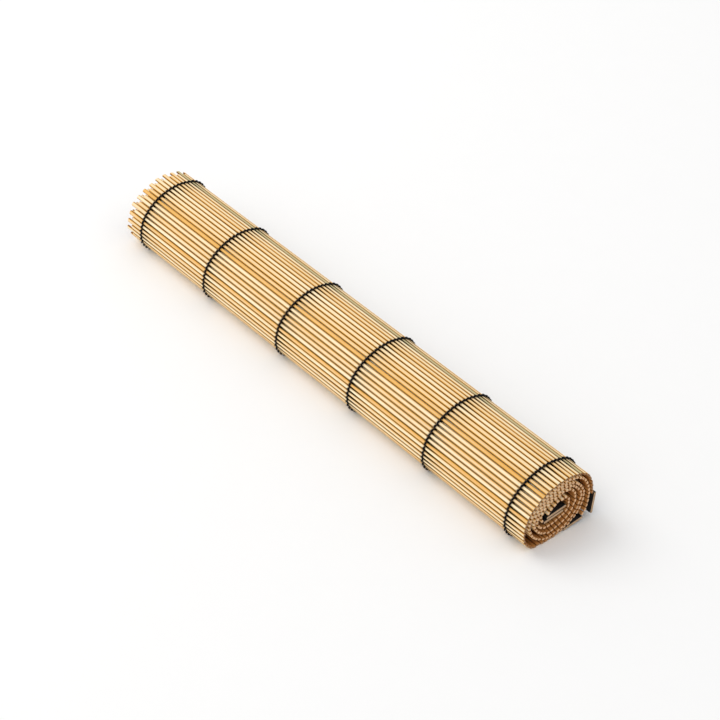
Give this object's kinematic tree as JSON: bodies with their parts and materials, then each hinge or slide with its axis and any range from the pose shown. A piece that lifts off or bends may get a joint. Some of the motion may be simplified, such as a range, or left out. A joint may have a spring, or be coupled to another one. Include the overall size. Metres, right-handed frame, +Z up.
{
  "type": "bamboo placemat, rolled up",
  "caption": "Rolled bamboo placemat: thin round-edged sticks tied side by side with black yarn and wound into a flattened roll, with black lacquered end slats.",
  "frame": {"origin": "middle of the roll's footprint, on the surface that it lies on", "axes": "+X along the sticks, towards the end whose section the picture shows; +Y towards the side where the loose end slats are; +Z up"},
  "size_m": [0.452, 0.0656, 0.0478],
  "materials": {
    "bamboo": "natural split bamboo, satin",
    "black_lacquer": "black lacquer over wood, satin",
    "black_yarn": "twisted cotton yarn, matt"
  },
  "bodies": {
    "root": {"mat_outer": "bamboo", "mat_inner": "bamboo", "slat_right": "black_lacquer", "slat_under": "black_lacquer", "slat_core_low": "black_lacquer", "slat_core_top": "black_lacquer", "yarn_1": "black_yarn", "yarn_2": "black_yarn", "yarn_3": "black_yarn", "yarn_4": "black_yarn", "yarn_5": "black_yarn", "yarn_6": "black_yarn"}
  },
  "joints": []
}
